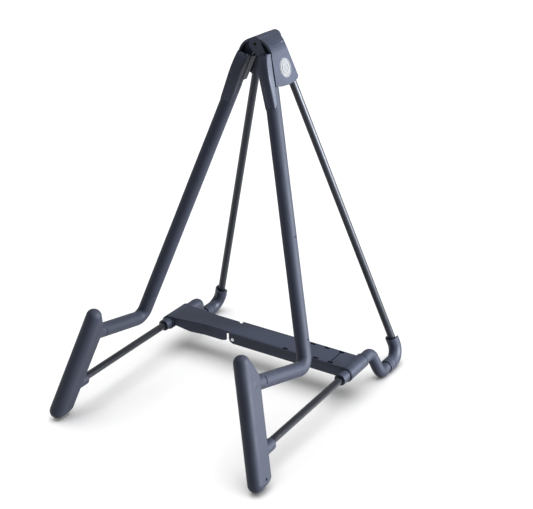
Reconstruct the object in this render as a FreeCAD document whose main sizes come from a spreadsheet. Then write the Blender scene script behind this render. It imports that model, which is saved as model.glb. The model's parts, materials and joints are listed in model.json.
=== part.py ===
import FreeCAD, Part
import math
import os
from FreeCAD import Placement, Rotation, Vector

# Folding A-frame guitar stand. +Z is up, the open cradle faces -Y, the crossbar runs along X.
# Each side of the stand is one flat frame that leans outward from a front-to-back hinge at the top.
# A side frame is laid out in its own plane: "across" is square to the plane (outward positive),
# "along" runs to the rear and "down" runs down the plane from the hinge height.

SIZES = {
    # side frame
    "hinge_height": 430.0, "hinge_offset": 10.0, "splay": 17.38, "rear_shift": 50.8,
    # bent leg tube and its soft sleeve
    "leg_start": 7.2, "leg_slope": 0.2355, "leg_corner_down": 364.3, "leg_bend": 13.0,
    "arm_slope": 0.262, "arm_end": 175.0, "leg_top_down": 15.0,
    "tube_radius": 6.0, "tube_bore": 4.8, "sleeve_radius": 8.8, "sleeve_top_down": 48.3,
    # end stop
    "stop_radius": 9.35, "stop_depth": 19.8, "stop_lean": 14.0, "stop_rear": 172.4,
    "stop_junction_down": 329.0, "stop_dome": 15.6, "stop_edge": 3.0,
    "boss_radius": 7.2, "boss_reach": 19.0, "boss_drop": 2.0,
    # lower rod and base tube
    "rod_down": 409.6, "lower_rod_radius": 4.6, "base_radius": 7.5, "base_front": 18.0,
    "base_crest": 62.5, "base_foot": 73.5, "base_foot_down": 443.6, "base_bend": 11.0,
    "base_end": 90.0, "spigot_radius": 5.5,
    # rear foot ring, elbow and rear rod
    "ring_radius": 8.6, "ring_length": 16.0, "elbow_radius": 8.5, "elbow_bend": 16.0,
    "elbow_rim_down": 412.7, "rear_start": 30.0, "rear_slope": 0.2188, "rear_rod_radius": 4.8,
    "rear_rod_top": 20.0, "rear_rod_end": 421.0, "mouth_radius": 6.4, "mouth_depth": 4.0,
    # head shells and hinge
    "barrel_outer": 8.3, "barrel_inner": 6.6, "barrel_length": 44.5, "knuckle_length": 14.0,
    "tongue_radius": 6.3, "shell_gap": 0.4, "arm_thickness": 5.0, "arm_length": 25.0,
    "pin_radius": 2.5, "pin_bore": 1.5, "pin_play": 0.05, "pin_inset": 0.5,
    "shell_outer": 9.2, "shell_wall": 2.8, "roof_radius": 24.0, "shell_rear": 31.6,
    "shell_rear_slope": 0.24, "roof_rear": 41.0, "shell_bottom": 47.8, "shell_lead": 4.4,
    "saddle_inner": 7.0, "saddle_depth": 12.0, "socket_radius": 8.4, "socket_top_down": 14.0,
    "neck_thickness": 3.0,
    # claw on the front of the leg
    "claw_half_width": 7.9, "claw_rear": 4.7, "claw_top_down": 12.0, "claw_tip_down": 70.0,
    # badge
    "badge_radius": 11.5, "badge_thickness": 1.0, "badge_rim": 1.2,
    # crossbar
    "barrel_radius": 9.3, "bar_top": 48.0, "bar_bottom": 33.2, "lever_bottom": 32.4, "lever_low_edge": 36.7,
    "plate_thickness": 3.0, "wall_thickness": 2.2, "bar_front": 2.0, "bar_rear": 33.5,
    "side_play": 0.3, "pivot_left": 33.8, "ear_reach": 5.7, "lever_wall_end": 42.5,
    "lever_flare_end": 78.0, "tongue_end": 106.5, "cover_start": 108.5, "floor_start": 5.0,
    "rivet_radius": 2.1, "rivet_head": 2.6,
}

document = FreeCAD.newDocument("GuitarStand")
sheet = document.addObject("Spreadsheet::Sheet", "Sizes")
for row, (alias, value) in enumerate(SIZES.items(), start=1):
    sheet.set("A%d" % row, alias)
    sheet.set("B%d" % row, str(value))
    sheet.setAlias("B%d" % row, alias)
document.recompute()


class Values:
    """The sheet's numbers by name."""
    def __getattr__(self, alias):
        return float(sheet.get(alias))


size = Values()
splay = math.radians(size.splay)
ALONG = Vector(0, 1, 0)
UP = Vector(0, 0, 1)
ACROSS = Vector(1, 0, 0)


# ---------------------------------------------------------------- helpers

def at(across, along, down):
    """A point of the right side frame before it is leaned outward."""
    return Vector(across, along, -down)


def bind(item, **expressions):
    for name, text in expressions.items():
        item.setExpression(name, text)
    return item


def label(item, node):
    item.Label = node
    return item


def facing(x_axis, z_axis):
    """Rotation that turns the local X and Z axes to the two directions given."""
    return Rotation(x_axis, z_axis.cross(x_axis), z_axis, "ZXY")


def cylinder(start, end, radius):
    item = document.addObject("Part::Cylinder", "Cylinder")
    item.Placement = Placement(start, Rotation(UP, end - start))
    item.Height = (end - start).Length
    return bind(item, Radius=radius)


def cone(start, end, first, second):
    item = document.addObject("Part::Cone", "Cone")
    item.Placement = Placement(start, Rotation(UP, end - start))
    item.Height = (end - start).Length
    return bind(item, Radius1=first, Radius2=second)


def bend(centre, start, end, radius):
    """Part of a ring round centre, from start to end, with a round section."""
    arm, stop = start - centre, end - centre
    normal = arm.cross(stop).normalize()
    item = document.addObject("Part::Torus", "Bend")
    item.Placement = Placement(centre, facing(Vector(arm).normalize(), normal))
    item.Radius1 = arm.Length
    item.Angle3 = math.degrees(arm.getAngle(stop))
    return bind(item, Radius2=radius)


def box(corner, across, along, up):
    item = document.addObject("Part::Box", "Box")
    item.Placement = Placement(corner, Rotation())
    item.Length, item.Width, item.Height = across, along, up
    return item


def fuse(items):
    item = document.addObject("Part::MultiFuse", "Fuse")
    item.Shapes = items
    item.Refine = False
    return item


def cut(base, tool):
    item = document.addObject("Part::Cut", "Cut")
    item.Base, item.Tool = base, tool
    item.Refine = False
    return item


def prism(outline, place, thickness):
    """A padded sketch of straight lines, placed as a whole."""
    body = document.addObject("PartDesign::Body", "Body")
    sketch = body.newObject("Sketcher::SketchObject", "Outline")
    plane = [item for item in body.Origin.OriginFeatures if item.Role == "XY_Plane"][0]
    sketch.AttachmentSupport = [(plane, "")]
    sketch.MapMode = "FlatFace"
    for first, second in zip(outline, outline[1:] + outline[:1]):
        sketch.addGeometry(Part.LineSegment(Vector(*first, 0), Vector(*second, 0)), False)
    pad = body.newObject("PartDesign::Pad", "Pad")
    pad.Profile = sketch
    bind(pad, Length=thickness)
    body.Tip = pad
    body.Placement = place
    return body


def in_frame(across):
    """Places a sketch of (along, up) points in the side frame, its pad running outward."""
    return Placement(Vector(across, 0, 0), facing(ALONG, ACROSS))


def tube_run(points, radii, radius):
    """A round bar along straight runs joined by arcs; radii has one value for each corner."""
    items, start = [], points[0]
    for corner, following, arc in zip(points[1:-1], points[2:], radii):
        before = (corner - start).normalize()
        after = (following - corner).normalize()
        turn = before.getAngle(after)
        reach = arc * math.tan(turn / 2)
        first, second = corner - before * reach, corner + after * reach
        inward = (after - before * before.dot(after)).normalize()
        items.append(cylinder(start, first, radius))
        items.append(bend(first + inward * arc, first, second, radius))
        start = second
    items.append(cylinder(start, points[-1], radius))
    return fuse(items)


def lean(item):
    """Leans a finished side-frame piece out to the right and lifts it to the hinge height."""
    item.Placement = Placement(Vector(), Rotation(ALONG, -size.splay))
    bind(item, **{
        ".Placement.Base.x": "Sizes.hinge_offset",
        ".Placement.Base.y": "Sizes.rear_shift",
        ".Placement.Base.z": "Sizes.hinge_height",
        ".Placement.Rotation.Angle": "Sizes.splay",
        ".Placement.Rotation.Axis.y": "-1",
    })
    return item


def mirrored(source):
    item = document.addObject("Part::Mirroring", "Mirror")
    item.Source = source
    item.Base = Vector()
    item.Normal = ACROSS
    return item


def both_sides(pieces, node, item):
    pieces["right_" + node] = item
    pieces["left_" + node] = mirrored(item)


# ---------------------------------------------------------------- side frame routes

def leg_point(down):
    return at(0, size.leg_start - size.leg_slope * down, down)


def rear_point(down):
    return at(0, size.rear_start + size.rear_slope * down, down)


def leg_route(top_down, arm_end):
    """Down the leg, round the corner and forward along the arm."""
    corner = leg_point(size.leg_corner_down)
    rise = size.arm_slope * (arm_end + corner.y)
    return [leg_point(top_down), corner, at(0, -arm_end, size.leg_corner_down - rise)]


ring_down = (size.hinge_height - size.ring_radius) / math.cos(splay)
elbow_corner_along = size.rear_start + size.rear_slope * ring_down
leg_direction = (leg_point(1) - leg_point(0)).normalize()


# ---------------------------------------------------------------- side frame pieces

def leg_tube():
    """Bent steel tube inside the sleeve, from the head to the end stop."""
    route = leg_route(size.leg_top_down, size.arm_end + 14)
    bar = tube_run(route, [size.leg_bend], "Sizes.tube_radius")
    bore = tube_run(route, [size.leg_bend], "Sizes.tube_bore")
    return lean(cut(bar, bore))


def leg_sleeve():
    """Soft cover over the leg and the arm."""
    route = leg_route(size.sleeve_top_down, size.arm_end)
    skin = tube_run(route, [size.leg_bend], "Sizes.sleeve_radius")
    bore = tube_run(route, [size.leg_bend], "Sizes.tube_radius")
    return lean(cut(skin, bore))


def end_stop():
    """Upright soft block at the front of the arm, with a socket boss for the lower rod."""
    tilt = math.radians(size.stop_lean)
    junction = at(0, -size.stop_rear, size.stop_junction_down)
    down = Vector(0, -math.sin(tilt), -math.cos(tilt))
    rear = Vector(0, math.cos(tilt), -math.sin(tilt))
    length = size.hinge_height - size.stop_junction_down + 60
    column_top = junction - rear * size.stop_depth - down * size.stop_dome
    column = cylinder(column_top, column_top + down * length, "Sizes.stop_radius")
    dome = document.addObject("Part::Sphere", "Dome")
    dome.Placement = Placement(column_top, Rotation())
    bind(dome, Radius="Sizes.stop_radius")
    back = document.addObject("Part::Box", "Back")
    corner = junction - rear * size.stop_depth - ACROSS * size.stop_radius
    back.Placement = Placement(corner + down * length, facing(ACROSS, down * -1))
    bind(back, Length="2 * Sizes.stop_radius", Width="Sizes.stop_depth")
    back.Height = length
    softened = document.addObject("Part::Fillet", "Softened")
    softened.Base = back
    document.recompute()
    softened.Edges = [(number, size.stop_edge, size.stop_edge)
                      for number in rear_edges(back.Shape, down, junction, rear)]
    shoulder = prism([(0, -1), (size.stop_depth - 0.5, -1), (size.stop_radius - 1.5, size.stop_dome),
                      (0, size.stop_dome)],
                     Placement(corner + ACROSS * 1.5, Rotation(rear, down * -1, ACROSS, "ZXY")),
                     "2 * Sizes.stop_radius - 3")
    rod_start = at(0, -size.stop_rear - 30, size.rod_down)
    boss_end = at(0, -size.stop_rear - (size.rod_down - size.stop_junction_down)
                  * math.tan(tilt) + size.boss_reach, size.rod_down)
    drop = UP * size.boss_drop
    boss = cylinder(rod_start - drop, boss_end - drop, "Sizes.boss_radius")
    solid = fuse([column, dome, softened, shoulder, boss])
    arm = leg_route(size.leg_top_down, size.arm_end + 14)
    sockets = fuse([cylinder(rod_start, boss_end + ALONG, "Sizes.lower_rod_radius"),
                    cylinder(arm[1], arm[2], "Sizes.tube_radius"),
                    sleeve_end_cutter(arm)])
    leaned = lean(cut(solid, sockets))
    ground = box(Vector(0, -400, -80), 300, 400, 80)
    return cut(leaned, ground)


def rear_edges(shape, down, junction, rear):
    """The long edges of the stop's back face."""
    found = []
    for number, edge in enumerate(shape.Edges, start=1):
        middle = edge.CenterOfMass
        straight = abs((edge.lastVertex().Point - edge.firstVertex().Point).normalize().dot(down))
        if straight > 0.99 and (middle - junction).dot(rear) > -0.01:
            found.append(number)
    return found


def sleeve_end_cutter(arm):
    direction = (arm[2] - arm[1]).normalize()
    rise = (size.arm_end + arm[1].y) / abs(direction.y)
    return cylinder(arm[1], arm[1] + direction * rise, "Sizes.sleeve_radius")


def lower_rod():
    """Straight steel rod from the end stop to the base tube."""
    front = at(0, -size.stop_rear - 30, size.rod_down)
    rear = at(0, -size.base_front + 12, size.rod_down)
    tip = cone(rear - ALONG, rear, "Sizes.lower_rod_radius", "Sizes.lower_rod_radius - 0.8")
    return lean(fuse([cylinder(front, rear - ALONG, "Sizes.lower_rod_radius"), tip]))


def base_tube():
    """Moulded tube through the crossbar barrel, down to the floor and back to the foot ring."""
    rod = size.rod_down
    route = [at(0, -size.base_front, rod), at(0, size.base_crest, rod),
             at(0, size.base_foot, size.base_foot_down), at(0, size.base_end, ring_down)]
    end = route[3]
    square_end = cylinder(end, end + ALONG * 10, "2 * Sizes.base_radius")
    bar = cut(tube_run(route, [size.base_bend, size.base_bend], "Sizes.base_radius"), square_end)
    spigot = cylinder(at(0, size.base_end - 4, ring_down),
                      at(0, size.base_end + size.ring_length, ring_down), "Sizes.spigot_radius")
    socket = cylinder(at(0, -size.base_front, rod), at(0, -size.base_front + 12, rod),
                      "Sizes.lower_rod_radius")
    return lean(cut(fuse([bar, spigot]), socket))


def foot_ring():
    """Rubber ring that the rear of each side stands on."""
    start, end = at(0, size.base_end, ring_down), at(0, size.base_end + size.ring_length, ring_down)
    outer = cylinder(start, end, "Sizes.ring_radius")
    inner = cylinder(start - ALONG, end + ALONG, "Sizes.spigot_radius")
    return lean(cut(outer, inner))


def rear_elbow():
    """Moulded elbow that turns from the foot ring up to the rear rod."""
    start = at(0, size.base_end + size.ring_length, ring_down)
    route = [start, at(0, elbow_corner_along, ring_down), rear_point(size.elbow_rim_down)]
    bar = tube_run(route, [size.elbow_bend], "Sizes.elbow_radius")
    rim = route[2]
    axis = (rear_point(0) - rear_point(1)).normalize()
    mouth = cylinder(rim - axis * size.mouth_depth, rim + axis, "Sizes.mouth_radius")
    socket = cylinder(rear_point(size.rear_rod_end), rim + axis, "Sizes.rear_rod_radius")
    return lean(cut(bar, fuse([mouth, socket])))


def rear_rod():
    """Straight steel rod from the elbow up into the head shell."""
    top = rear_point(size.rear_rod_top)
    shoulder = rear_point(size.rear_rod_top + 1)
    tip = cone(shoulder, top, "Sizes.rear_rod_radius", "Sizes.rear_rod_radius - 0.8")
    return lean(fuse([cylinder(rear_point(size.rear_rod_end), shoulder, "Sizes.rear_rod_radius"),
                      tip]))


# ---------------------------------------------------------------- head pieces

hinge_across = -size.hinge_offset * math.cos(splay)
hinge_up = size.hinge_offset * math.sin(splay)
tongue_front = size.knuckle_length + size.shell_gap / 2
tongue_rear = size.barrel_length - size.knuckle_length - size.shell_gap / 2


def hinge_point(along):
    return Vector(hinge_across, along, hinge_up)


def hinge_cylinder(start, end, radius):
    """A cylinder on the hinge axis, between two distances behind the front of the barrel."""
    return cylinder(hinge_point(start), hinge_point(end), radius)


def radial(degrees):
    """Direction square to the hinge at an angle above outward."""
    turn = math.radians(degrees)
    return Vector(math.cos(turn), 0, math.sin(turn))


roof_across = size.shell_outer - size.roof_radius
roof_up = hinge_up + size.barrel_outer - size.roof_radius - 0.4
ROOF_SWEEP = 66


def roof(radius_less):
    """Round strip from the hinge barrel over to the side wall."""
    item = document.addObject("Part::Cylinder", "Roof")
    item.Placement = Placement(Vector(roof_across, 0.6, roof_up), facing(radial(ROOF_SWEEP), ALONG))
    item.Height = size.barrel_length - 1.2
    item.Angle = ROOF_SWEEP
    return bind(item, Radius="Sizes.roof_radius - %s" % radius_less)


def roof_middle(degrees):
    """A point (across, up) in the middle of the roof's thickness."""
    reach = radial(degrees) * (size.roof_radius - size.shell_wall / 2)
    return roof_across + reach.x, roof_up + reach.z


def rear_edge(up):
    """How far back the side wall reaches at a height above the frame's origin."""
    return size.shell_rear - size.shell_rear_slope * up


def front_edge(down, more=0.0):
    """How far forward the side wall reaches, leading the leg's axis."""
    return leg_point(down).y - size.shell_lead + 0.055 * (down - 15) - more


def upright(end):
    """Places a sketch of (across, up) points square to the hinge, its pad running forward."""
    return Placement(Vector(0, end, 0), Rotation(ACROSS, UP, ALONG * -1, "ZXY"))


def cross_wall(start, end):
    """Wall square to the hinge that ties the barrel to the roof and the side wall."""
    profile = [roof_middle(degrees) for degrees in (62, 46, 30, 14)]
    profile += [(size.shell_outer - 1, -18), (1 - size.saddle_inner, -18),
                (hinge_across + 1, hinge_up - 5)]
    return prism(profile, upright(end), str(end - start))


def neck():
    """Flat arm from the front disc of the hinge down to the leg socket."""
    profile = [(hinge_across - 7.9, 0), (-size.socket_radius, -size.socket_top_down - 1),
               (2, -size.socket_top_down - 1), (-2, 5)]
    return prism(profile, upright(size.neck_thickness), "Sizes.neck_thickness")


def shell_body():
    """Side wall, roof, leg saddle, sockets and cross walls, common to both shells."""
    top, low = roof_up, -size.shell_bottom
    wall = prism([(front_edge(-top), top), (front_edge(-low), low), (6, low - 3.2),
                  (21, low - 4.3), (33, low - 3.2), (40, low - 1.6), (rear_edge(low + 1), low + 1),
                  (rear_edge(top), top)],
                 in_frame(size.shell_outer - size.shell_wall), "Sizes.shell_wall")
    strip = cut(roof("0"), roof("Sizes.shell_wall"))
    rod_socket = cylinder(rear_point(2), rear_point(47), "Sizes.rear_rod_radius + Sizes.shell_wall")
    leg_socket = cylinder(leg_point(size.socket_top_down), leg_point(size.sleeve_top_down),
                          "Sizes.socket_radius")
    saddle = prism([(leg_point(16).y, -16), (leg_point(45).y, -45),
                    (leg_point(45).y + size.saddle_depth, -45),
                    (leg_point(16).y + size.saddle_depth, -16)],
                   in_frame(-size.saddle_inner), "Sizes.saddle_inner + Sizes.shell_outer - 1")
    return [wall, strip, rod_socket, leg_socket, saddle, cross_wall(5, 8), cross_wall(33.4, 36.4)]


def shell_hollows():
    """The leg and its sleeve, the rear rod, and what lies behind the roof and the side wall."""
    rod = cylinder(rear_point(size.rear_rod_top), rear_point(60), "Sizes.rear_rod_radius")
    leg = cylinder(leg_point(size.leg_top_down), leg_point(90), "Sizes.tube_radius")
    sleeve = cylinder(leg_point(size.sleeve_top_down), leg_point(90), "Sizes.sleeve_radius")
    behind = prism([(size.roof_rear, 9.5), (38.2, 5.3), (36.2, 0.3), (34.6, -4), (33.9, -8.9),
                    (rear_edge(-13.1), -13.1), (rear_edge(-30), -30), (80, -30), (80, 9.5)],
                   in_frame(hinge_across + 4), "40")
    return [rod, leg, sleeve, behind]


def pin_hole():
    return hinge_cylinder(-1, size.barrel_length + 1, "Sizes.pin_radius + Sizes.pin_play")


def head_shell_with_barrel():
    """Right shell: its barrel covers the other shell's tongue, which enters through a slot."""
    barrel = hinge_cylinder(0, size.barrel_length, "Sizes.barrel_outer")
    room = hinge_cylinder(size.knuckle_length, size.barrel_length - size.knuckle_length,
                          "Sizes.barrel_inner")
    slot = document.addObject("Part::Cylinder", "Slot")
    slot.Placement = Placement(hinge_point(size.knuckle_length), facing(radial(250.6), ALONG))
    slot.Height = size.barrel_length - 2 * size.knuckle_length
    slot.Radius, slot.Angle = 12, 98
    body = cut(fuse(shell_body() + [neck()]), fuse(shell_hollows()))
    return lean(cut(fuse([body, barrel]), fuse([pin_hole(), room, slot])))


def head_shell_with_tongue():
    """Left shell, drawn as a right one: a tongue reaches into the other shell's barrel."""
    around = hinge_cylinder(-1, size.barrel_length + 1, "Sizes.barrel_outer + Sizes.shell_gap")
    body = cut(fuse(shell_body()), fuse(shell_hollows() + [around]))
    tongue = hinge_cylinder(tongue_front, tongue_rear, "Sizes.tongue_radius")
    reach, side = radial(-47), radial(43)
    arm = document.addObject("Part::Box", "Arm")
    arm.Placement = Placement(hinge_point(tongue_front) - side * (size.arm_thickness / 2),
                              Rotation(reach, ALONG, side, "ZXY"))
    arm.Width = tongue_rear - tongue_front
    bind(arm, Length="Sizes.arm_length", Height="Sizes.arm_thickness")
    return lean(cut(fuse([body, tongue, arm]), pin_hole()))


def tube_clamp():
    """Claw that grips the front of the leg below the head, deepest a third of the way down."""
    top, tip, half = size.claw_top_down, size.claw_tip_down, size.claw_half_width
    front = [(top, 12.5), (20, 14.0), (30, 14.5), (38, 13.9), (48, 12.4), (57, 10.8), (65, 9.6),
             (tip, 9.1)]
    profile = [(leg_point(down).y - reach, -down) for down, reach in front]
    profile += [(leg_point(down).y - size.claw_rear, -down) for down in (tip - 5, top)]
    outside = prism(profile, in_frame(-half), "2 * Sizes.claw_half_width")
    socket = cylinder(leg_point(0), leg_point(size.sleeve_top_down), "Sizes.socket_radius")
    sleeve = cylinder(leg_point(size.sleeve_top_down), leg_point(tip + 15), "Sizes.sleeve_radius")
    return lean(cut(outside, fuse([socket, sleeve])))


def badge():
    """Plain round badge on the outer face of the shell, with a raised rim."""
    centre = Vector(size.shell_outer, 20.4, -32.2)
    face = centre + ACROSS * size.badge_thickness
    disc = cylinder(centre, face, "Sizes.badge_radius")
    hollow = cylinder(face - ACROSS * 0.4, face + ACROSS, "Sizes.badge_radius - Sizes.badge_rim")
    return lean(cut(disc, hollow))


def hinge_pin():
    """Rolled steel pin along the top hinge."""
    front = Vector(0, size.rear_shift + size.pin_inset, size.hinge_height)
    back = Vector(0, size.rear_shift + size.barrel_length - size.pin_inset, size.hinge_height)
    return cut(cylinder(front, back, "Sizes.pin_radius"),
               cylinder(front - ALONG, back + ALONG, "Sizes.pin_bore"))


# ---------------------------------------------------------------- crossbar

rod_x = size.hinge_offset + size.rod_down * math.sin(splay)
rod_z = size.hinge_height - size.rod_down * math.cos(splay)


def flat(z):
    return Placement(Vector(0, size.rear_shift, z), Rotation())


def slab(x_low, x_high, y_low, y_high, z_low, z_high):
    return box(Vector(x_low, y_low + size.rear_shift, z_low),
               x_high - x_low, y_high - y_low, z_high - z_low)


def barrel(side, y_low, y_high, radius):
    start = Vector(side * rod_x, y_low + size.rear_shift, rod_z)
    return cylinder(start, start + ALONG * (y_high - y_low), radius)


def crossbar_lever():
    """Left half of the crossbar, with a long tongue that lies in the right half."""
    wall, play = size.wall_thickness, size.side_play
    front = -size.bar_front + wall + play
    rear = size.bar_rear - wall - play
    flare, wall_end = -size.lever_flare_end, -size.lever_wall_end
    under = size.bar_top - size.plate_thickness
    plate = prism([(-rod_x, -7), (flare, front), (size.tongue_end, front),
                   (size.tongue_end, rear), (wall_end + 6, rear), (wall_end + 2, rear - 3.4),
                   (wall_end - 2, rear), (flare, rear), (-rod_x, 35.5)],
                  flat(under), "Sizes.plate_thickness")
    front_skirt = prism([(-rod_x, -7), (flare, front), (wall_end, front), (wall_end, front + wall),
                         (flare, front + wall), (-rod_x, -7 + wall)], flat(size.lever_bottom),
                        "Sizes.bar_top - Sizes.lever_bottom - 1")
    rear_skirt = prism([(-rod_x, 35.5), (flare, rear), (wall_end - 2, rear),
                        (wall_end - 2, rear - wall), (flare, rear - wall), (-rod_x, 35.5 - wall)],
                       flat(size.lever_bottom), "Sizes.bar_top - Sizes.lever_bottom - 1")
    sleeve = barrel(-1, -7.5, 36.5, "Sizes.barrel_radius")
    solid = cut(fuse([plate, front_skirt, rear_skirt]), under_the_skirts())
    return cut(fuse([solid, sleeve]), barrel(-1, -9, 38, "Sizes.base_radius + Sizes.pin_play"))


def under_the_skirts():
    """What the lower edge of the skirts leaves open: high at both ends, deep between them."""
    low, high, wall_end = size.lever_bottom, size.lever_low_edge, -size.lever_wall_end
    profile = [(-rod_x - 1, low - 2), (-rod_x - 1, high), (-rod_x + 12, high), (-rod_x + 32, low),
               (wall_end - 10, low), (wall_end - 4, low + 1.5), (wall_end + 1, high),
               (wall_end + 1, low - 2)]
    return prism(profile, upright(size.rear_shift + 50), "80")


def crossbar_channel():
    """Right half of the crossbar: two side walls, a floor and a cover by the barrel."""
    wall = size.wall_thickness
    left = -size.pivot_left - size.ear_reach
    high = size.bar_top - size.bar_bottom
    corner = 6.0
    profile = [(left, high), (left, corner), (left + corner * 0.3, corner * 0.3), (left + corner, 0),
               (rod_x, 0), (rod_x, high)]
    walls = []
    for y in (-size.bar_front, size.bar_rear - wall):
        place = Placement(Vector(0, y + wall + size.rear_shift, size.bar_bottom),
                          Rotation(ACROSS, UP, ALONG * -1, "ZXY"))
        walls.append(prism(profile, place, "Sizes.wall_thickness"))
    floor = slab(size.floor_start, rod_x, -size.bar_front, size.bar_rear,
                 size.bar_bottom, size.bar_bottom + 2.4)
    cover = slab(size.cover_start, rod_x, -size.bar_front, size.bar_rear,
                 size.bar_top - size.plate_thickness, size.bar_top)
    sleeve = barrel(1, -4, 40, "Sizes.barrel_radius")
    solid = fuse(walls + [floor, cover, sleeve])
    bores = fuse([barrel(1, -5, 41, "Sizes.base_radius + Sizes.pin_play"),
                  rivet_bar(-size.bar_front, "Sizes.rivet_radius"),
                  rivet_bar(size.bar_rear - wall, "Sizes.rivet_radius")])
    return cut(solid, bores)


def rivet_bar(y, radius):
    start = Vector(-size.pivot_left, y + size.rear_shift, rod_z)
    return cylinder(start, start + ALONG * size.wall_thickness, radius)


def pivot_rivet(y, outward):
    """Round-headed rivet through one ear of the channel."""
    face = y if outward < 0 else y + size.wall_thickness
    start = Vector(-size.pivot_left, face + size.rear_shift, rod_z)
    head = cone(start, start + ALONG * (0.9 * outward), "Sizes.rivet_head",
                "Sizes.rivet_head - 0.9")
    return fuse([rivet_bar(y, "Sizes.rivet_radius"), head])


# ---------------------------------------------------------------- assembly

def build_pieces():
    pieces = {"right_head_shell": head_shell_with_barrel(),
              "left_head_shell": mirrored(head_shell_with_tongue())}
    for node, maker in (("tube_clamp", tube_clamp), ("leg_tube", leg_tube),
                        ("leg_sleeve", leg_sleeve), ("end_stop", end_stop),
                        ("lower_rod", lower_rod), ("base_tube", base_tube),
                        ("foot_ring", foot_ring), ("rear_elbow", rear_elbow),
                        ("rear_rod", rear_rod), ("badge", badge)):
        both_sides(pieces, node, maker())
    pieces["hinge_pin"] = hinge_pin()
    pieces["crossbar_lever"] = crossbar_lever()
    pieces["crossbar_channel"] = crossbar_channel()
    pieces["front_pivot_rivet"] = pivot_rivet(-size.bar_front, -1)
    pieces["rear_pivot_rivet"] = pivot_rivet(size.bar_rear - size.wall_thickness, 1)
    for node, item in pieces.items():
        label(item, node)
    return pieces


def check(pieces):
    for item in document.Objects:
        if "Invalid" in item.State or "Error" in item.State:
            raise RuntimeError("%s failed: %s" % (item.Label, item.State))
    for node, item in pieces.items():
        if item.Shape.isNull() or not item.Shape.isValid() or not item.Shape.Solids:
            raise RuntimeError("%s has no valid solid" % node)


def main():
    pieces = build_pieces()
    document.recompute()
    check(pieces)
    os.makedirs("parts", exist_ok=True)
    whole = FreeCAD.BoundBox()
    for node, item in sorted(pieces.items()):
        item.Shape.exportStep(os.path.join("parts", node + ".step"))
        whole.add(item.Shape.BoundBox)
        print("%-20s solids %d volume %9.1f" % (node, len(item.Shape.Solids), item.Shape.Volume))
    print("X %.2f %.2f  Y %.2f %.2f  Z %.2f %.2f" % (
        whole.XMin, whole.XMax, whole.YMin, whole.YMax, whole.ZMin, whole.ZMax))


main()
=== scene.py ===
import bmesh
import bpy
import json
import math
from mathutils import Matrix, Vector

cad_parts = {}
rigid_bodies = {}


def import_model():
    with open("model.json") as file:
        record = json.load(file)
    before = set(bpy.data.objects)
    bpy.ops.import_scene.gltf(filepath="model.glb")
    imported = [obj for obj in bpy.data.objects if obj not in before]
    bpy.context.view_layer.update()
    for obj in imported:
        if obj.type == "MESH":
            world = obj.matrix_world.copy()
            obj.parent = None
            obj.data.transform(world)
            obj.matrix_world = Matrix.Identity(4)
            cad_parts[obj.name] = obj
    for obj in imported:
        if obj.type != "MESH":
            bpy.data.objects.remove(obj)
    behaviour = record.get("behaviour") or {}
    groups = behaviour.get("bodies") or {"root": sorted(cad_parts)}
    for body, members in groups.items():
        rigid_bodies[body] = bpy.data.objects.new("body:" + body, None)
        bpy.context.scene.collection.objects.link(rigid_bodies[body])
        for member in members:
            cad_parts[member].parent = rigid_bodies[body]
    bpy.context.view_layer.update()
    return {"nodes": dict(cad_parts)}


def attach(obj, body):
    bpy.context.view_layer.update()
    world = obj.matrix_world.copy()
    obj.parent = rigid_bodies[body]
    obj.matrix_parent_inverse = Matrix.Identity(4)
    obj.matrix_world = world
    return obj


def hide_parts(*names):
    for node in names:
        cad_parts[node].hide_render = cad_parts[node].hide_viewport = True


# Folding guitar stand. Each side of the stand is one flat frame that leans outward from the top
# hinge. Its pieces are drawn in millimetres as (across, along, up) from the frame's own origin,
# and side_matrix() carries them to the stand's metres. "Down" is minus "up".

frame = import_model()

MM = 0.001
SIDES = {"right": 1, "left": -1}

# The side frames
SPLAY = math.radians(17.38)
HINGE_HEIGHT, HINGE_OFFSET, REAR_SHIFT = 430, 10, 50.8
LEG_START, LEG_SLOPE, LEG_CORNER_DOWN, LEG_BEND = 7.2, 0.2355, 364.3, 13
ARM_SLOPE, ARM_END = 0.262, 175
ROD_DOWN = 409.6
REAR_START, REAR_SLOPE, ELBOW_RIM_DOWN = 30, 0.2188, 412.7
RING_HEIGHT = 8.6

# The leg's sleeve. A slit's turns are degrees round the sleeve, on its outer and its inner side.
SLEEVE_RADIUS, SOCKET_RADIUS, SLEEVE_TOP_DOWN = 8.8, 8.4, 48.3
SLEEVE_GAP, SLEEVE_RIPPLE, SLEEVE_LIP = 0.12, 0.1, 1.2
SLIT_DEPTH, SLIT_HALF_WIDTH, SLIT_END_WIDTH = 2.6, 1.05, 0.1
LEG_SLITS_DOWN, LEG_SLIT_TURNS, LEG_SLIT_SPAN = (216.3, 332.8), (-12, 192), 28
ARM_SLIT_BACK, ARM_SLIT_TURNS, ARM_SLIT_SPAN, ARM_SLIT_BOW = 11.3, (16, 164), 40, 0.5

# The end stop
STOP_RADIUS, STOP_DEPTH, STOP_LEAN, STOP_EDGE = 9.35, 19.8, math.radians(14), 3.4
STOP_REAR, STOP_JUNCTION_DOWN, STOP_DOME, STOP_BOTTOM_DOWN = 172.4, 329, 15.6, 447.6
COLLAR_INSIDE, COLLAR_OUTSIDE = 12, 1.6
BOSS_RADIUS, BOSS_DROP, BOSS_STATIONS = 7.2, 2.0, (-12, 15.6, 18.6)
HOLE_PLACE, HOLE_DEPTHS, HOLE_RADIUS = (-211.4, 436.6), (2, 12), 2.0

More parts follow.
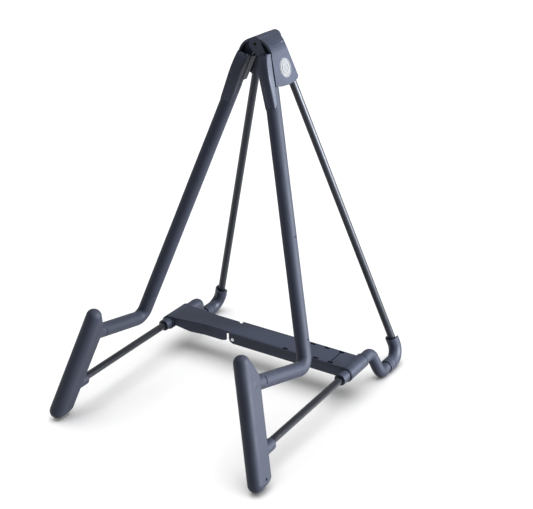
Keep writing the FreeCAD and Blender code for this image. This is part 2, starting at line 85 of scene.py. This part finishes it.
# The claw: its front outline and its pocket as (down, ahead of the leg's axis)
CLAW_FRONT = [(12.6, 12.1), (16, 13.4), (22, 14.2), (30, 14.5), (38, 13.9), (48, 12.4), (57, 10.8),
              (65, 9.6), (70, 9.1)]
CLAW_CORNER, CLAW_BOW, CLAW_HALF = 2.4, 0.9, 7.2
CHEEK_ENDS_DOWN, CHEEK_AHEAD, CHEEK_HALF = (11.6, 67), 4.7, 8.1
POCKET, POCKET_HALF = [(8, 4), (8, 11.2), (17, 4), (17, 11.8)], 5.2
CLAW_CLEARANCE = 0.05

# The badge: its section as (radius, height above the shell)
BADGE_ALONG, BADGE_DOWN, SHELL_OUTER = 20.4, 32.2, 9.2
BADGE_SECTION = [(2.3, 0.95), (2.5, 0.5), (4.5, 0.5), (4.7, 0.95), (6.9, 0.95), (7.1, 0.45),
                 (9.1, 0.45), (9.3, 0.95), (10.3, 0.9), (10.5, 0.35), (11.2, 0.3), (11.4, 0)]

# The crossbar. A slot is (across, low end, high end).
ROD_X, ROD_Z, BAR_TOP = 132.354, 39.092, 48
SLOT_REACH = 4.0
SLOTS = [(across, -0.9, 2.7) for across in (43.6, 87.3, 108.0)]
SLOTS += [(across, 28.4, 32.2) for across in (67.0, 87.1, 108.0)]
SLOT_DEPTH_LEVER, SLOT_DEPTH_CHANNEL = 6, 8
GROOVES_LEVER, GROOVES_CHANNEL = (-6.4, 34.6), (-2.8, 37.9)
GAP_LOW, GAP_HIGH = Vector((-45.4, -3, 20)), Vector((-40, 3.2, BAR_TOP - 3.2))


# ---------------------------------------------------------------- places

def side_matrix(side):
    """Side-frame millimetres (across, along, up) to the stand's metres."""
    cosine, sine = math.cos(SPLAY), math.sin(SPLAY)
    rows = ((side * cosine, 0, -side * sine, side * HINGE_OFFSET), (0, 1, 0, REAR_SHIFT),
            (sine, 0, cosine, HINGE_HEIGHT), (0, 0, 0, 1))
    return Matrix.Scale(MM, 4) @ Matrix(rows)


def stand_matrix():
    """Millimetres of the stand itself, with along measured from the side frames' origin."""
    return Matrix.Scale(MM, 4) @ Matrix.Translation((0, REAR_SHIFT, 0))


def at(across, along, down):
    return Vector((across, along, -down))


def leg_point(down, ahead=0.0, across=0.0):
    """A point by the leg's axis, so far ahead of it."""
    return at(across, LEG_START - LEG_SLOPE * down - ahead, down)


def arm_end():
    """The front end of the arm, inside the end stop."""
    rise = ARM_SLOPE * (ARM_END + leg_point(LEG_CORNER_DOWN).y)
    return at(0, -ARM_END, LEG_CORNER_DOWN - rise)


def rear_point(down):
    """A point on the rear rod's axis."""
    return at(0, REAR_START + REAR_SLOPE * down, down)


# ---------------------------------------------------------------- meshes

def placed_mesh(name, bm, matrix, smooth=True):
    """Carries a shape to its place and leaves its faces pointing outward."""
    bm.transform(matrix)
    bmesh.ops.remove_doubles(bm, verts=bm.verts, dist=1e-6)
    bmesh.ops.recalc_face_normals(bm, faces=bm.faces)
    mesh = bpy.data.meshes.new(name)
    bm.to_mesh(mesh)
    bm.free()
    for polygon in mesh.polygons:
        polygon.use_smooth = smooth
    return mesh


def add_object(name, mesh):
    item = bpy.data.objects.new(name, mesh)
    bpy.context.scene.collection.objects.link(item)
    return item


def applied(item):
    """Turns an object's modifiers into its mesh."""
    graph = bpy.context.evaluated_depsgraph_get()
    graph.update()
    mesh = bpy.data.meshes.new_from_object(item.evaluated_get(graph), depsgraph=graph)
    item.modifiers.clear()
    item.data = mesh
    return item


def cut_away(item, tools):
    """Cuts each tool out of an object and deletes the tools."""
    for tool in tools:
        cutter = item.modifiers.new("Cut", "BOOLEAN")
        cutter.operation = "DIFFERENCE"
        cutter.solver = "EXACT"
        cutter.object = tool
        applied(item)
        bpy.data.objects.remove(tool)
    return item


def rounded_edges(item, width):
    """Rounds the sharp edges of an object by a width in millimetres."""
    same_place, same_plane, sharp = 2e-6, math.radians(0.6), math.radians(32)
    bm = bmesh.new()
    bm.from_mesh(item.data)
    bmesh.ops.remove_doubles(bm, verts=bm.verts, dist=same_place)
    bmesh.ops.dissolve_limit(bm, angle_limit=same_plane, verts=bm.verts, edges=bm.edges)
    bm.to_mesh(item.data)
    bm.free()
    bevel = item.modifiers.new("Bevel", "BEVEL")
    bevel.width = width * MM
    bevel.segments = 3
    bevel.limit_method = "ANGLE"
    bevel.angle_limit = sharp
    applied(item)
    for polygon in item.data.polygons:
        polygon.use_smooth = True
    shade = item.modifiers.new("Shade", "WEIGHTED_NORMAL")
    shade.keep_sharp = False
    shade.weight = 100
    return applied(item)


def softened(item, voxel, rounds):
    """One closed soft skin over everything in an object, rounded where pieces meet."""
    remesh = item.modifiers.new("Skin", "REMESH")
    remesh.mode = "VOXEL"
    remesh.voxel_size = voxel * MM
    remesh.use_smooth_shade = True
    smooth = item.modifiers.new("Smooth", "SMOOTH")
    smooth.factor = 0.5
    smooth.iterations = rounds
    return applied(item)


def rounded_route(points, radii):
    """Straight runs joined by arcs, as a list of points close together."""
    route = [points[0]]
    for corner, following, arc in zip(points[1:-1], points[2:], radii):
        before, after = (corner - route[-1]).normalized(), (following - corner).normalized()
        turn = before.angle(after)
        reach = arc * math.tan(turn / 2)
        centre = corner - before * reach + (after - before * before.dot(after)).normalized() * arc
        first, second = corner - before * reach - centre, corner + after * reach - centre
        count = max(6, math.ceil(math.degrees(turn) / 4))
        route += [centre + first.slerp(second, step / count).normalized() * arc
                  for step in range(count + 1)]
    return route + [points[-1]]


def stations(route, marks):
    """Distances along a route: even ones and close ones by each mark. The second list holds the
    distance of each of the route's own points."""
    step, least = 2.0, 0.12
    offsets = (0.2, 0.45, 0.7, 0.95, 1.2, 1.5)
    lengths = [0.0]
    for first, second in zip(route, route[1:]):
        lengths.append(lengths[-1] + (second - first).length)
    total = lengths[-1]
    count = math.ceil(total / step)
    found = [total * number / count for number in range(count + 1)]
    for mark in marks:
        found += [mark] + [mark + sign * offset for offset in offsets for sign in (-1, 1)]
    found = sorted(value for value in found if 0 <= value <= total)
    kept = [found[0]]
    for value in found[1:]:
        if value - kept[-1] > least:
            kept.append(value)
    return kept, lengths


def point_on(route, lengths, distance):
    """The point so far along a route."""
    for number in range(1, len(route)):
        if distance <= lengths[number] or number == len(route) - 1:
            span = lengths[number] - lengths[number - 1]
            share = (distance - lengths[number - 1]) / span
            return route[number - 1].lerp(route[number], min(max(share, 0), 1))


def skinned(bm, rings):
    """Joins rings of vertices into a closed skin with flat ends."""
    around = len(rings[0])
    for first, second in zip(rings, rings[1:]):
        for number in range(around):
            after = (number + 1) % around
            bm.faces.new((first[number], first[after], second[after], second[number]))
    bm.faces.new(rings[0])
    bm.faces.new(rings[-1])
    return bm


def swept(route, radius, marks):
    """A round skin along a route in the side frame's plane. radius(distance, angle) gives its size,
    with the angle measured from outward towards the route's own left."""
    around, look = 72, 0.6
    bm = bmesh.new()
    kept, lengths = stations(route, marks)
    outward = Vector((1, 0, 0))
    rings = []
    for distance in kept:
        here = point_on(route, lengths, distance)
        ahead = point_on(route, lengths, min(distance + look, lengths[-1]))
        behind = point_on(route, lengths, max(distance - look, 0))
        other = (ahead - behind).normalized().cross(outward)
        ring = []
        for number in range(around):
            angle = 2 * math.pi * number / around
            direction = outward * math.cos(angle) + other * math.sin(angle)
            ring.append(bm.verts.new(here + direction * radius(distance, angle)))
        rings.append(ring)
    return skinned(bm, rings)


def length_of(route):
    """The whole length of a route."""
    return sum((second - first).length for first, second in zip(route, route[1:]))


def ball_points(centre, radius, count=20):
    """Points spread evenly over a sphere."""
    points = []
    rows = count // 2
    for row in range(rows + 1):
        tilt = math.pi * row / rows
        for number in range(count if 0 < row < rows else 1):
            turn = 2 * math.pi * number / count
            direction = Vector((math.sin(tilt) * math.cos(turn), math.sin(tilt) * math.sin(turn),
                                math.cos(tilt)))
            points.append(centre + direction * radius)
    return points


def hull(bm, points):
    """Adds the closed convex skin round some points."""
    verts = [bm.verts.new(point) for point in points]
    result = bmesh.ops.convex_hull(bm, input=verts)
    inside = [item for item in result["geom_interior"] if isinstance(item, bmesh.types.BMVert)]
    bmesh.ops.delete(bm, geom=inside, context="VERTS")
    return bm


def rod_shape(bm, start, end, first, second=None, around=64):
    """Adds a closed round bar between two points."""
    axis = end - start
    turn = Vector((0, 0, 1)).rotation_difference(axis.normalized()).to_matrix().to_4x4()
    bmesh.ops.create_cone(bm, cap_ends=True, segments=around, radius1=first,
                          radius2=first if second is None else second, depth=axis.length,
                          matrix=Matrix.Translation((start + end) / 2) @ turn)
    return bm


def bar_tool(start, end, radius, matrix, around=48):
    """A round bar to cut with."""
    bm = rod_shape(bmesh.new(), start, end, radius, around=around)
    return add_object("Tool", placed_mesh("Tool", bm, matrix))


def block_tool(low, high, matrix):
    """A block between two corners to cut with."""
    bm = bmesh.new()
    place = Matrix.Translation((low + high) / 2) @ Matrix.Diagonal((*(high - low), 1))
    bmesh.ops.create_cube(bm, size=1, matrix=place)
    return add_object("Tool", placed_mesh("Tool", bm, matrix))


def groove_tool(start, end, inner, outer, matrix):
    """A ring that cuts a groove round a barrel."""
    ring, width = bar_tool(start, end, outer, matrix, 64), end - start
    return cut_away(ring, [bar_tool(start - width, end + width, inner, matrix, 64)])


def cad_object(node):
    """The object that shows a CAD piece."""
    return bpy.data.objects[node if node in bpy.data.objects else frame["nodes"][node]]


def cad_copy(node, name):
    """A copy of a CAD piece to add detail to."""
    return add_object(name, cad_object(node).data.copy())


def finished(item, node, body, material):
    """Gives a piece its material and its body, and hides the CAD piece that it stands for."""
    item.data.materials.clear()
    item.data.materials.append(material)
    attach(item, body)
    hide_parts(node)


# ---------------------------------------------------------------- materials

class Shader:
    """A Principled material with object-space textures."""
    def __init__(self, name, colour, roughness, **constants):
        self.material = bpy.data.materials.new(name)
        self.material.use_nodes = True
        self.tree = self.material.node_tree
        self.shader = self.tree.nodes["Principled BSDF"]
        self.shader.inputs["Base Color"].default_value = (*colour, 1)
        self.shader.inputs["Roughness"].default_value = roughness
        for socket, value in constants.items():
            self.shader.inputs[socket.replace("_", " ")].default_value = value
        self.bumps = []
        self.place = self.tree.nodes.new("ShaderNodeTexCoord").outputs["Object"]

    def link(self, source, target):
        self.tree.links.new(source, target)

    def noise(self, scale, detail=3.0, roughness=0.55, stretch=None):
        place = self.place
        if stretch:
            mapping = self.tree.nodes.new("ShaderNodeMapping")
            mapping.inputs["Scale"].default_value = stretch
            self.link(place, mapping.inputs["Vector"])
            place = mapping.outputs["Vector"]
        node = self.tree.nodes.new("ShaderNodeTexNoise")
        node.inputs["Scale"].default_value = scale
        node.inputs["Detail"].default_value = detail
        node.inputs["Roughness"].default_value = roughness
        self.link(place, node.inputs["Vector"])
        return node.outputs["Fac"]

    def ramp(self, source, low, high, first, second):
        """Maps a value between two limits to a value between two others."""
        node = self.tree.nodes.new("ShaderNodeMapRange")
        for socket, value in (("From Min", low), ("From Max", high), ("To Min", first), ("To Max", second)):
            node.inputs[socket].default_value = value
        self.link(source, node.inputs["Value"])
        return node.outputs["Result"]

    def mottle(self, source, first, second, low=0.3, high=0.7):
        """A base colour that drifts between two shades."""
        node = self.tree.nodes.new("ShaderNodeMix")
        node.data_type = "RGBA"
        node.inputs["A"].default_value = (*first, 1)
        node.inputs["B"].default_value = (*second, 1)
        self.link(self.ramp(source, low, high, 0, 1), node.inputs["Factor"])
        self.link(node.outputs["Result"], self.shader.inputs["Base Color"])

    def add_colour(self, source, colour):
        """Lays one more colour over what the base colour has so far."""
        node = self.tree.nodes.new("ShaderNodeMix")
        node.data_type = "RGBA"
        base = self.shader.inputs["Base Color"].links[0].from_socket
        self.link(base, node.inputs["A"])
        node.inputs["B"].default_value = (*colour, 1)
        self.link(source, node.inputs["Factor"])
        self.link(node.outputs["Result"], self.shader.inputs["Base Color"])

    def painted_edge_highlight(self, strength, colour):
        """Paler where the surface turns sharply outward: a painted highlight along the sharp edges."""
        pointy = self.tree.nodes.new("ShaderNodeNewGeometry").outputs["Pointiness"]
        self.add_colour(self.ramp(pointy, 0.52, 0.60, 0, strength), colour)

    def rough(self, source, first, second):
        """A roughness that drifts between two values."""
        self.link(self.ramp(source, 0.3, 0.7, first, second), self.shader.inputs["Roughness"])

    def bump(self, source, distance):
        """Relief of a height in millimetres, on top of any before it."""
        node = self.tree.nodes.new("ShaderNodeBump")
        node.inputs["Strength"].default_value = 1
        node.inputs["Distance"].default_value = distance * MM
        self.link(source, node.inputs["Height"])
        if self.bumps:
            self.link(self.bumps[-1], node.inputs["Normal"])
        self.bumps.append(node.outputs["Normal"])
        self.link(node.outputs["Normal"], self.shader.inputs["Normal"])


def tinted(colour, factor):
    """A colour made darker or paler."""
    return tuple(channel * factor for channel in colour)


CHARCOAL = (0.0115, 0.0138, 0.0235)
SOFT_CHARCOAL = (0.0125, 0.0148, 0.025)
BLACK = (0.003, 0.0034, 0.005)
PALE = (0.12, 0.124, 0.134)
BRIGHT = (0.62, 0.63, 0.66)
COOL = (0.78, 0.86, 1.0, 1.0)


def moulding_material(name, speckle):
    """Fine-grained matte plastic with faint speckles."""
    shader = Shader(name, CHARCOAL, 0.5, Specular_IOR_Level=0.3, Specular_Tint=COOL)
    cloud, grain, speck = shader.noise(38), shader.noise(1500, 2), shader.noise(1300, 1)
    shader.mottle(cloud, tinted(CHARCOAL, 0.88), tinted(CHARCOAL, 1.14), 0.35, 0.65)
    shader.add_colour(shader.ramp(speck, 0.6, 0.72, 0, speckle), tinted(CHARCOAL, 2.8))
    # Painted highlight: paler colour along the sharp edges of the moulding.
    shader.painted_edge_highlight(0.35, tinted(CHARCOAL, 2.4))
    shader.rough(cloud, 0.42, 0.54)
    shader.bump(grain, 0.09)
    return shader.material


def sleeve_material():
    """Soft sleeve with a fine matte grain and slight handling marks."""
    shader = Shader("Sleeve", SOFT_CHARCOAL, 0.62, Specular_IOR_Level=0.25, Sheen_Weight=0.02,
                    Sheen_Roughness=0.5, Specular_Tint=COOL)
    cloud, grain = shader.noise(24, 4), shader.noise(1100, 3, 0.7)
    marks = shader.noise(60, 5, 0.6, (1, 1, 0.2))
    shader.mottle(cloud, tinted(SOFT_CHARCOAL, 0.86), tinted(SOFT_CHARCOAL, 1.16))
    shader.add_colour(shader.ramp(marks, 0.62, 0.75, 0, 0.3), tinted(SOFT_CHARCOAL, 1.7))
    # Painted highlight: paler colour along the sharp edges of the sleeve.
    shader.painted_edge_highlight(0.25, tinted(SOFT_CHARCOAL, 1.8))
    shader.rough(cloud, 0.55, 0.68)
    shader.bump(grain, 0.13)
    return shader.material


def stop_material():
    """Soft block with a slightly coarser grain than the sleeve."""
    shader = Shader("Stop", SOFT_CHARCOAL, 0.6, Specular_IOR_Level=0.26, Sheen_Weight=0.02,
                    Sheen_Roughness=0.5, Specular_Tint=COOL)
    cloud, grain, pits = shader.noise(30, 4), shader.noise(900, 3, 0.7), shader.noise(420, 2)
    shader.mottle(cloud, tinted(SOFT_CHARCOAL, 0.84), tinted(SOFT_CHARCOAL, 1.12))
    # Painted highlight: paler colour along the sharp edges of the stop.
    shader.painted_edge_highlight(0.3, tinted(SOFT_CHARCOAL, 1.9))
    shader.rough(cloud, 0.52, 0.66)
    shader.bump(grain, 0.14)
    shader.bump(pits, 0.08)
    return shader.material


def rod_material():
    """Glossy black coating with a faint orange-peel surface."""
    shader = Shader("Rod", BLACK, 0.17, Specular_IOR_Level=0.5, Coat_Weight=0.3, Coat_Roughness=0.14,
                    Specular_Tint=COOL)
    cloud, peel = shader.noise(45), shader.noise(520, 2)
    shader.mottle(cloud, tinted(BLACK, 0.85), tinted(BLACK, 1.25))
    shader.rough(cloud, 0.14, 0.2)
    shader.bump(peel, 0.012)
    return shader.material


def satin_rod_material():
    """Satin powder coat of the rear rods."""
    shader = Shader("SatinRod", BLACK, 0.42, Specular_IOR_Level=0.4, Specular_Tint=COOL)
    cloud, grain = shader.noise(45), shader.noise(1300, 2)
    shader.mottle(cloud, tinted(BLACK, 1.1), tinted(BLACK, 1.6))
    shader.rough(cloud, 0.36, 0.46)
    shader.bump(grain, 0.05)
    return shader.material


def tube_material():
    """Dark satin steel of the leg tubes and the hinge pin."""
    shader = Shader("TubeSteel", BLACK, 0.4, Specular_IOR_Level=0.5)
    cloud, grain = shader.noise(40), shader.noise(900, 2)
    shader.mottle(cloud, tinted(BLACK, 1.0), tinted(BLACK, 1.5))
    shader.bump(grain, 0.04)
    return shader.material


def bright_steel_material():
    """Bright steel of the rivets, with fine turning marks."""
    shader = Shader("BrightSteel", BRIGHT, 0.28, Metallic=1.0)
    cloud, marks = shader.noise(200), shader.noise(1800, 3, 0.6, (1, 0.1, 1))
    shader.mottle(cloud, tinted(BRIGHT, 0.85), BRIGHT)
    shader.rough(cloud, 0.224, 0.364)
    shader.bump(marks, 0.03)
    return shader.material


def badge_material():
    """Pale satin paint of the badge."""
    shader = Shader("BadgePaint", PALE, 0.55, Specular_IOR_Level=0.15)
    cloud, grain = shader.noise(160), shader.noise(900, 2)
    shader.mottle(cloud, (0.11, 0.115, 0.126), (0.132, 0.137, 0.148))
    shader.rough(cloud, 0.45, 0.55)
    shader.bump(grain, 0.03)
    return shader.material


MATERIALS = {
    "moulding": moulding_material("Moulding", 0.3), "cheek": moulding_material("CheekMoulding", 0.8),
    "sleeve": sleeve_material(), "stop": stop_material(), "rod": rod_material(),
    "satin_rod": satin_rod_material(), "tube_steel": tube_material(),
    "bright_steel": bright_steel_material(), "badge": badge_material(),
}


# ---------------------------------------------------------------- soft pieces

def slit(distance, angle, mark, centre, span, bow=0.0):
    """Depth of a narrow slit across a skin, at one place along it and over part of its turn."""
    off = math.remainder(angle - math.radians(centre), 2 * math.pi)
    share = off / math.radians(span)
    if abs(share) > 1:
        return 0.0
    width = SLIT_HALF_WIDTH * math.sqrt(1 - share ** 2) + SLIT_END_WIDTH
    return SLIT_DEPTH if abs(distance - mark - bow * share ** 2) < width else 0.0


def leg_sleeve(name):
    """Soft skin down the leg, round the corner and along the arm, with its small slits."""
    route = rounded_route([leg_point(SLEEVE_TOP_DOWN), leg_point(LEG_CORNER_DOWN), arm_end()], [LEG_BEND])
    stretch = math.sqrt(1 + LEG_SLOPE ** 2)
    on_leg = [(down - SLEEVE_TOP_DOWN) * stretch for down in LEG_SLITS_DOWN]
    on_arm = length_of(route) - ARM_SLIT_BACK

    def radius(distance, angle):
        ripple = SLEEVE_RIPPLE * math.sin(distance / 31) * math.cos(angle * 2 + distance / 47)
        near_top = max(0.0, SLEEVE_LIP - distance)
        lip = SLEEVE_LIP - math.sqrt(SLEEVE_LIP ** 2 - near_top ** 2)
        cuts = [slit(distance, angle, mark, turn, LEG_SLIT_SPAN)
                for mark in on_leg for turn in LEG_SLIT_TURNS]
        cuts += [slit(distance, angle, on_arm, turn, ARM_SLIT_SPAN, ARM_SLIT_BOW)
                 for turn in ARM_SLIT_TURNS]
        return SLEEVE_RADIUS - SLEEVE_GAP + ripple - lip - sum(cuts)

    bm = swept(route, radius, (0.4, *on_leg, on_arm))
    return add_object(name, placed_mesh(name, bm, side_matrix(1)))


def stop_block():
    """The end stop's block: a round front with a domed top, and a rear face with soft corners."""
    down = Vector((0, -math.sin(STOP_LEAN), -math.cos(STOP_LEAN)))
    rear = Vector((0, math.cos(STOP_LEAN), -math.sin(STOP_LEAN)))
    junction = at(0, -STOP_REAR, STOP_JUNCTION_DOWN)
    axis_top = junction - rear * STOP_DEPTH - down * STOP_DOME
    length = (STOP_BOTTOM_DOWN - STOP_RADIUS + axis_top.z) / math.cos(STOP_LEAN)
    rear_end = (STOP_BOTTOM_DOWN - STOP_JUNCTION_DOWN) / math.cos(STOP_LEAN) - STOP_EDGE
    points = ball_points(axis_top, STOP_RADIUS, 40) + ball_points(axis_top + down * length, STOP_RADIUS, 40)
    for across in (STOP_EDGE - STOP_RADIUS, STOP_RADIUS - STOP_EDGE):
        place = Vector((across, 0, 0)) + junction - rear * STOP_EDGE
        points += ball_points(place + down * (STOP_EDGE * 0.6), STOP_EDGE)
        points += ball_points(place + down * (rear_end - 6), STOP_EDGE)
        points += ball_points(place + down * (rear_end - 2) - rear * 5, STOP_EDGE)
    return hull(bmesh.new(), points)


def end_stop(name):
    """Upright soft block with a collar for the arm, a boss for the lower rod and a small hole."""
    bm = stop_block()
    front = arm_end()
    back = (leg_point(LEG_CORNER_DOWN) - front).normalized()
    rod_shape(bm, front - back * COLLAR_INSIDE, front + back * COLLAR_OUTSIDE, SLEEVE_RADIUS + 1.2,
              SLEEVE_RADIUS + 0.1)
    rod_front = -STOP_REAR - (ROD_DOWN - STOP_JUNCTION_DOWN) * math.tan(STOP_LEAN)
    boss = [at(0, rod_front + along, ROD_DOWN + BOSS_DROP) for along in BOSS_STATIONS]
    rod_shape(bm, boss[0], boss[1], BOSS_RADIUS + 0.2, BOSS_RADIUS)
    rod_shape(bm, boss[1], boss[2], BOSS_RADIUS, BOSS_RADIUS - 2.2)
    place = side_matrix(1)
    item = softened(add_object(name, placed_mesh(name, bm, place)), 0.7, 8)
    hole = [at(across, *HOLE_PLACE) for across in HOLE_DEPTHS]
    tools = [bar_tool(*hole, HOLE_RADIUS, place, 24),
             bar_tool(boss[1] + Vector((0, 0, BOSS_DROP)), boss[2] + Vector((0, 2, BOSS_DROP)), 4.75, place)]
    return cut_away(item, tools)


# ---------------------------------------------------------------- moulded pieces

def claw(name):
    """Claw on the front of the leg: flat cheeks, rounded corners and a gently bowed front."""
    inset = CLAW_HALF - CLAW_CORNER
    points = []
    for down, ahead in CLAW_FRONT:
        for across, set_back in ((-inset, CLAW_BOW), (inset, CLAW_BOW), (0, 0)):
            centre = leg_point(down, ahead - CLAW_CORNER - set_back, across)
            points += ball_points(centre, CLAW_CORNER, 24)
    points += [leg_point(down, CHEEK_AHEAD, across) for down in CHEEK_ENDS_DOWN
               for across in (-CHEEK_HALF, CHEEK_HALF)]
    place = side_matrix(1)
    item = add_object(name, placed_mesh(name, hull(bmesh.new(), points), place))
    pocket = hull(bmesh.new(), [leg_point(down, ahead, across) for down, ahead in POCKET
                                for across in (-POCKET_HALF, POCKET_HALF)])
    sleeve_top = leg_point(SLEEVE_TOP_DOWN)
    tools = [bar_tool(leg_point(0), sleeve_top, SOCKET_RADIUS + CLAW_CLEARANCE, place, 64),
             bar_tool(sleeve_top, leg_point(90), SLEEVE_RADIUS + CLAW_CLEARANCE, place, 64),
             add_object("Tool", placed_mesh("Tool", pocket, place))]
    return rounded_edges(cut_away(item, tools), 0.45)


def foot_ring(name, side, node):
    """Rubber ring under the rear of each side, with two grooves round it."""
    down = (HINGE_HEIGHT - RING_HEIGHT) / math.cos(SPLAY)
    tools = [groove_tool(at(0, along, down), at(0, along + 0.7, down), 8.15, 10, side_matrix(side))
             for along in (93.5, 102)]
    return rounded_edges(cut_away(cad_copy(node, name), tools), 0.5)


def rear_elbow(name, side, node):
    """Elbow whose rim dips at its front and back, between two raised ears."""
    middle, reach = rear_point(ELBOW_RIM_DOWN - 8.4), Vector((0, 16, -3.5))
    saddle = bar_tool(middle - reach, middle + reach, 10, side_matrix(side), 96)
    return rounded_edges(cut_away(cad_copy(node, name), [saddle]), 0.7)


def badge(name):
    """Plain pale disc with two round grooves and a lower rim."""
    centre, around = at(SHELL_OUTER, BADGE_ALONG, BADGE_DOWN), 96
    bm = bmesh.new()
    rings = []
    for radius, height in BADGE_SECTION:
        ring = []
        for number in range(around):
            turn = 2 * math.pi * number / around
            offset = Vector((height, radius * math.cos(turn), radius * math.sin(turn)))
            ring.append(bm.verts.new(centre + offset))
        rings.append(ring)
    return add_object(name, placed_mesh(name, skinned(bm, rings), side_matrix(1), smooth=False))


# ---------------------------------------------------------------- crossbar

def barrel_grooves(side, places):
    """Grooves round a crossbar half's barrel, just inside its ends."""
    width, inner, outer = 0.8, 8.5, 10.5
    return [groove_tool(Vector((side * ROD_X, along, ROD_Z)), Vector((side * ROD_X, along + width, ROD_Z)),
                        inner, outer, stand_matrix()) for along in places]


def slot_tools(depth):
    """Short slots along both long edges of the tongue, over both crossbar halves."""
    return [block_tool(Vector((across - SLOT_REACH, low, BAR_TOP - depth)),
                       Vector((across + SLOT_REACH, high, BAR_TOP + 1)), stand_matrix())
            for across, low, high in SLOTS]


def crossbar_lever(name):
    """Lever half, with slots in the edges of its tongue and a gap at the end of its skirt."""
    gap = block_tool(GAP_LOW, GAP_HIGH, stand_matrix())
    tools = barrel_grooves(-1, GROOVES_LEVER) + slot_tools(SLOT_DEPTH_LEVER) + [gap]
    return rounded_edges(cut_away(cad_copy("crossbar_lever", name), tools), 0.5)


def crossbar_channel(name):
    """Channel half, with the slots along its inner edges."""
    tools = barrel_grooves(1, GROOVES_CHANNEL) + slot_tools(SLOT_DEPTH_CHANNEL)
    return rounded_edges(cut_away(cad_copy("crossbar_channel", name), tools), 0.45)


# ---------------------------------------------------------------- assembly

def mirrored_copy(item, name):
    """The same piece for the left side."""
    mesh = item.data.copy()
    mesh.transform(Matrix.Scale(-1, 4, (1, 0, 0)))
    mesh.flip_normals()
    return add_object(name, mesh)


def finish_copy(node, body, material, width):
    """A CAD piece with its edges rounded."""
    finished(rounded_edges(cad_copy(node, "Fine_" + node), width), node, body, MATERIALS[material])


def build_pairs():
    """Pieces drawn once for the right side and mirrored for the left."""
    makers = {"leg_sleeve": (leg_sleeve, "sleeve", "sleeve"), "end_stop": (end_stop, "stop", "stop"),
              "tube_clamp": (claw, "moulding", "cheek"), "badge": (badge, "badge", "badge")}
    for part, (maker, slot, material) in makers.items():
        right = maker("Fine_right_" + part)
        left = mirrored_copy(right, "Fine_left_" + part)
        finished(right, "right_" + part, "right_frame", MATERIALS[material])
        finished(left, "left_" + part, "left_frame", MATERIALS[material])


def build_side(word, side):
    """Pieces that start from the CAD shapes of one side."""
    body = word + "_frame"
    finish_copy(word + "_head_shell", body, "cheek", 0.6)
    finish_copy(word + "_base_tube", body, "moulding", 0.7)
    for part, maker, slot in (("_foot_ring", foot_ring, "stop"), ("_rear_elbow", rear_elbow, "moulding")):
        node = word + part
        finished(maker("Fine_" + node, side, node), node, body, MATERIALS[slot])
    finish_copy(word + "_lower_rod", body, "rod", 0.25)
    finish_copy(word + "_rear_rod", body, "satin_rod", 0.25)
    dress(word + "_leg_tube", "tube_steel")


def dress(node, material):
    """Gives a CAD piece whose shape is right its material."""
    mesh = cad_object(node).data
    mesh.materials.clear()
    mesh.materials.append(MATERIALS[material])
    for polygon in mesh.polygons:
        polygon.use_smooth = True


def build():
    build_pairs()
    for word, side in SIDES.items():
        build_side(word, side)
    finish_copy("hinge_pin", "right_frame", "tube_steel", 0.2)
    for maker, node in ((crossbar_lever, "crossbar_lever"), (crossbar_channel, "crossbar_channel")):
        finished(maker("Fine_" + node), node, node, MATERIALS["moulding"])
    for node in ("front_pivot_rivet", "rear_pivot_rivet"):
        finish_copy(node, "crossbar_channel", "bright_steel", 0.3)


# ---------------------------------------------------------------- camera and light

def camera():
    """A long lens, in front of the stand, to its right and above it."""
    azimuth, elevation, roll = math.radians(31.98), math.radians(24.31), math.radians(0.18)
    data = bpy.data.cameras.new("Camera")
    data.sensor_width = 36
    data.lens = 79.2878
    data.clip_end = 20
    item = add_object("Camera", data)
    place = Vector((0.7090, -1.0586, 0.7618))
    turn = (Matrix.Rotation(azimuth, 4, "Z") @ Matrix.Rotation(math.pi / 2 - elevation, 4, "X")
            @ Matrix.Rotation(roll, 4, "Z"))
    item.matrix_world = Matrix.Translation(place) @ turn
    bpy.context.scene.camera = item


def white_floor():
    """A wide sheet of white paper under the stand."""
    reach = 15
    corners = [(-reach, -reach, 0), (reach, -reach, 0), (reach, reach, 0), (-reach, reach, 0)]
    floor = bpy.data.meshes.new("Floor")
    floor.from_pydata(corners, [], [(0, 1, 2, 3)])
    paint = bpy.data.materials.new("Paper")
    paint.use_nodes = True
    shader = paint.node_tree.nodes["Principled BSDF"]
    shader.inputs["Base Color"].default_value = (0.93, 0.93, 0.93, 1)
    shader.inputs["Roughness"].default_value = 0.9
    shader.inputs["Specular IOR Level"].default_value = 0.1
    floor.materials.append(paint)
    add_object("Floor", floor)


def white_surround():
    """An even white surround and a broad light from straight above."""
    world = bpy.data.worlds.new("Studio")
    world.use_nodes = True
    world.node_tree.nodes["Background"].inputs["Color"].default_value = (1, 1, 1, 1)
    world.node_tree.nodes["Background"].inputs["Strength"].default_value = 0.48
    bpy.context.scene.world = world
    overhead = bpy.data.lights.new("Overhead", "SUN")
    overhead.energy, overhead.angle = 2.5, math.radians(70)
    add_object("Overhead", overhead)


def key_light():
    """A soft light from the right that falls on the stand but not on the floor."""
    place, aim = Vector((1.5, 0.5, 0.55)), Vector((0.05, 0, 0.24))
    data = bpy.data.lights.new("Key", "AREA")
    data.shape = "RECTANGLE"
    data.size, data.size_y, data.energy = 0.8, 0.9, 130
    key = add_object("Key", data)
    turn = (aim - place).to_track_quat("-Z", "Y").to_matrix().to_4x4()
    key.matrix_world = Matrix.Translation(place) @ turn
    lit = bpy.data.collections.new("Lit")
    for item in bpy.context.scene.objects:
        if item.type == "MESH" and item.name != "Floor":
            lit.objects.link(item)
    key.light_linking.receiver_collection = lit


def studio():
    bpy.context.scene.view_settings.view_transform = "Standard"
    white_floor()
    white_surround()
    key_light()


build()
camera()
studio()
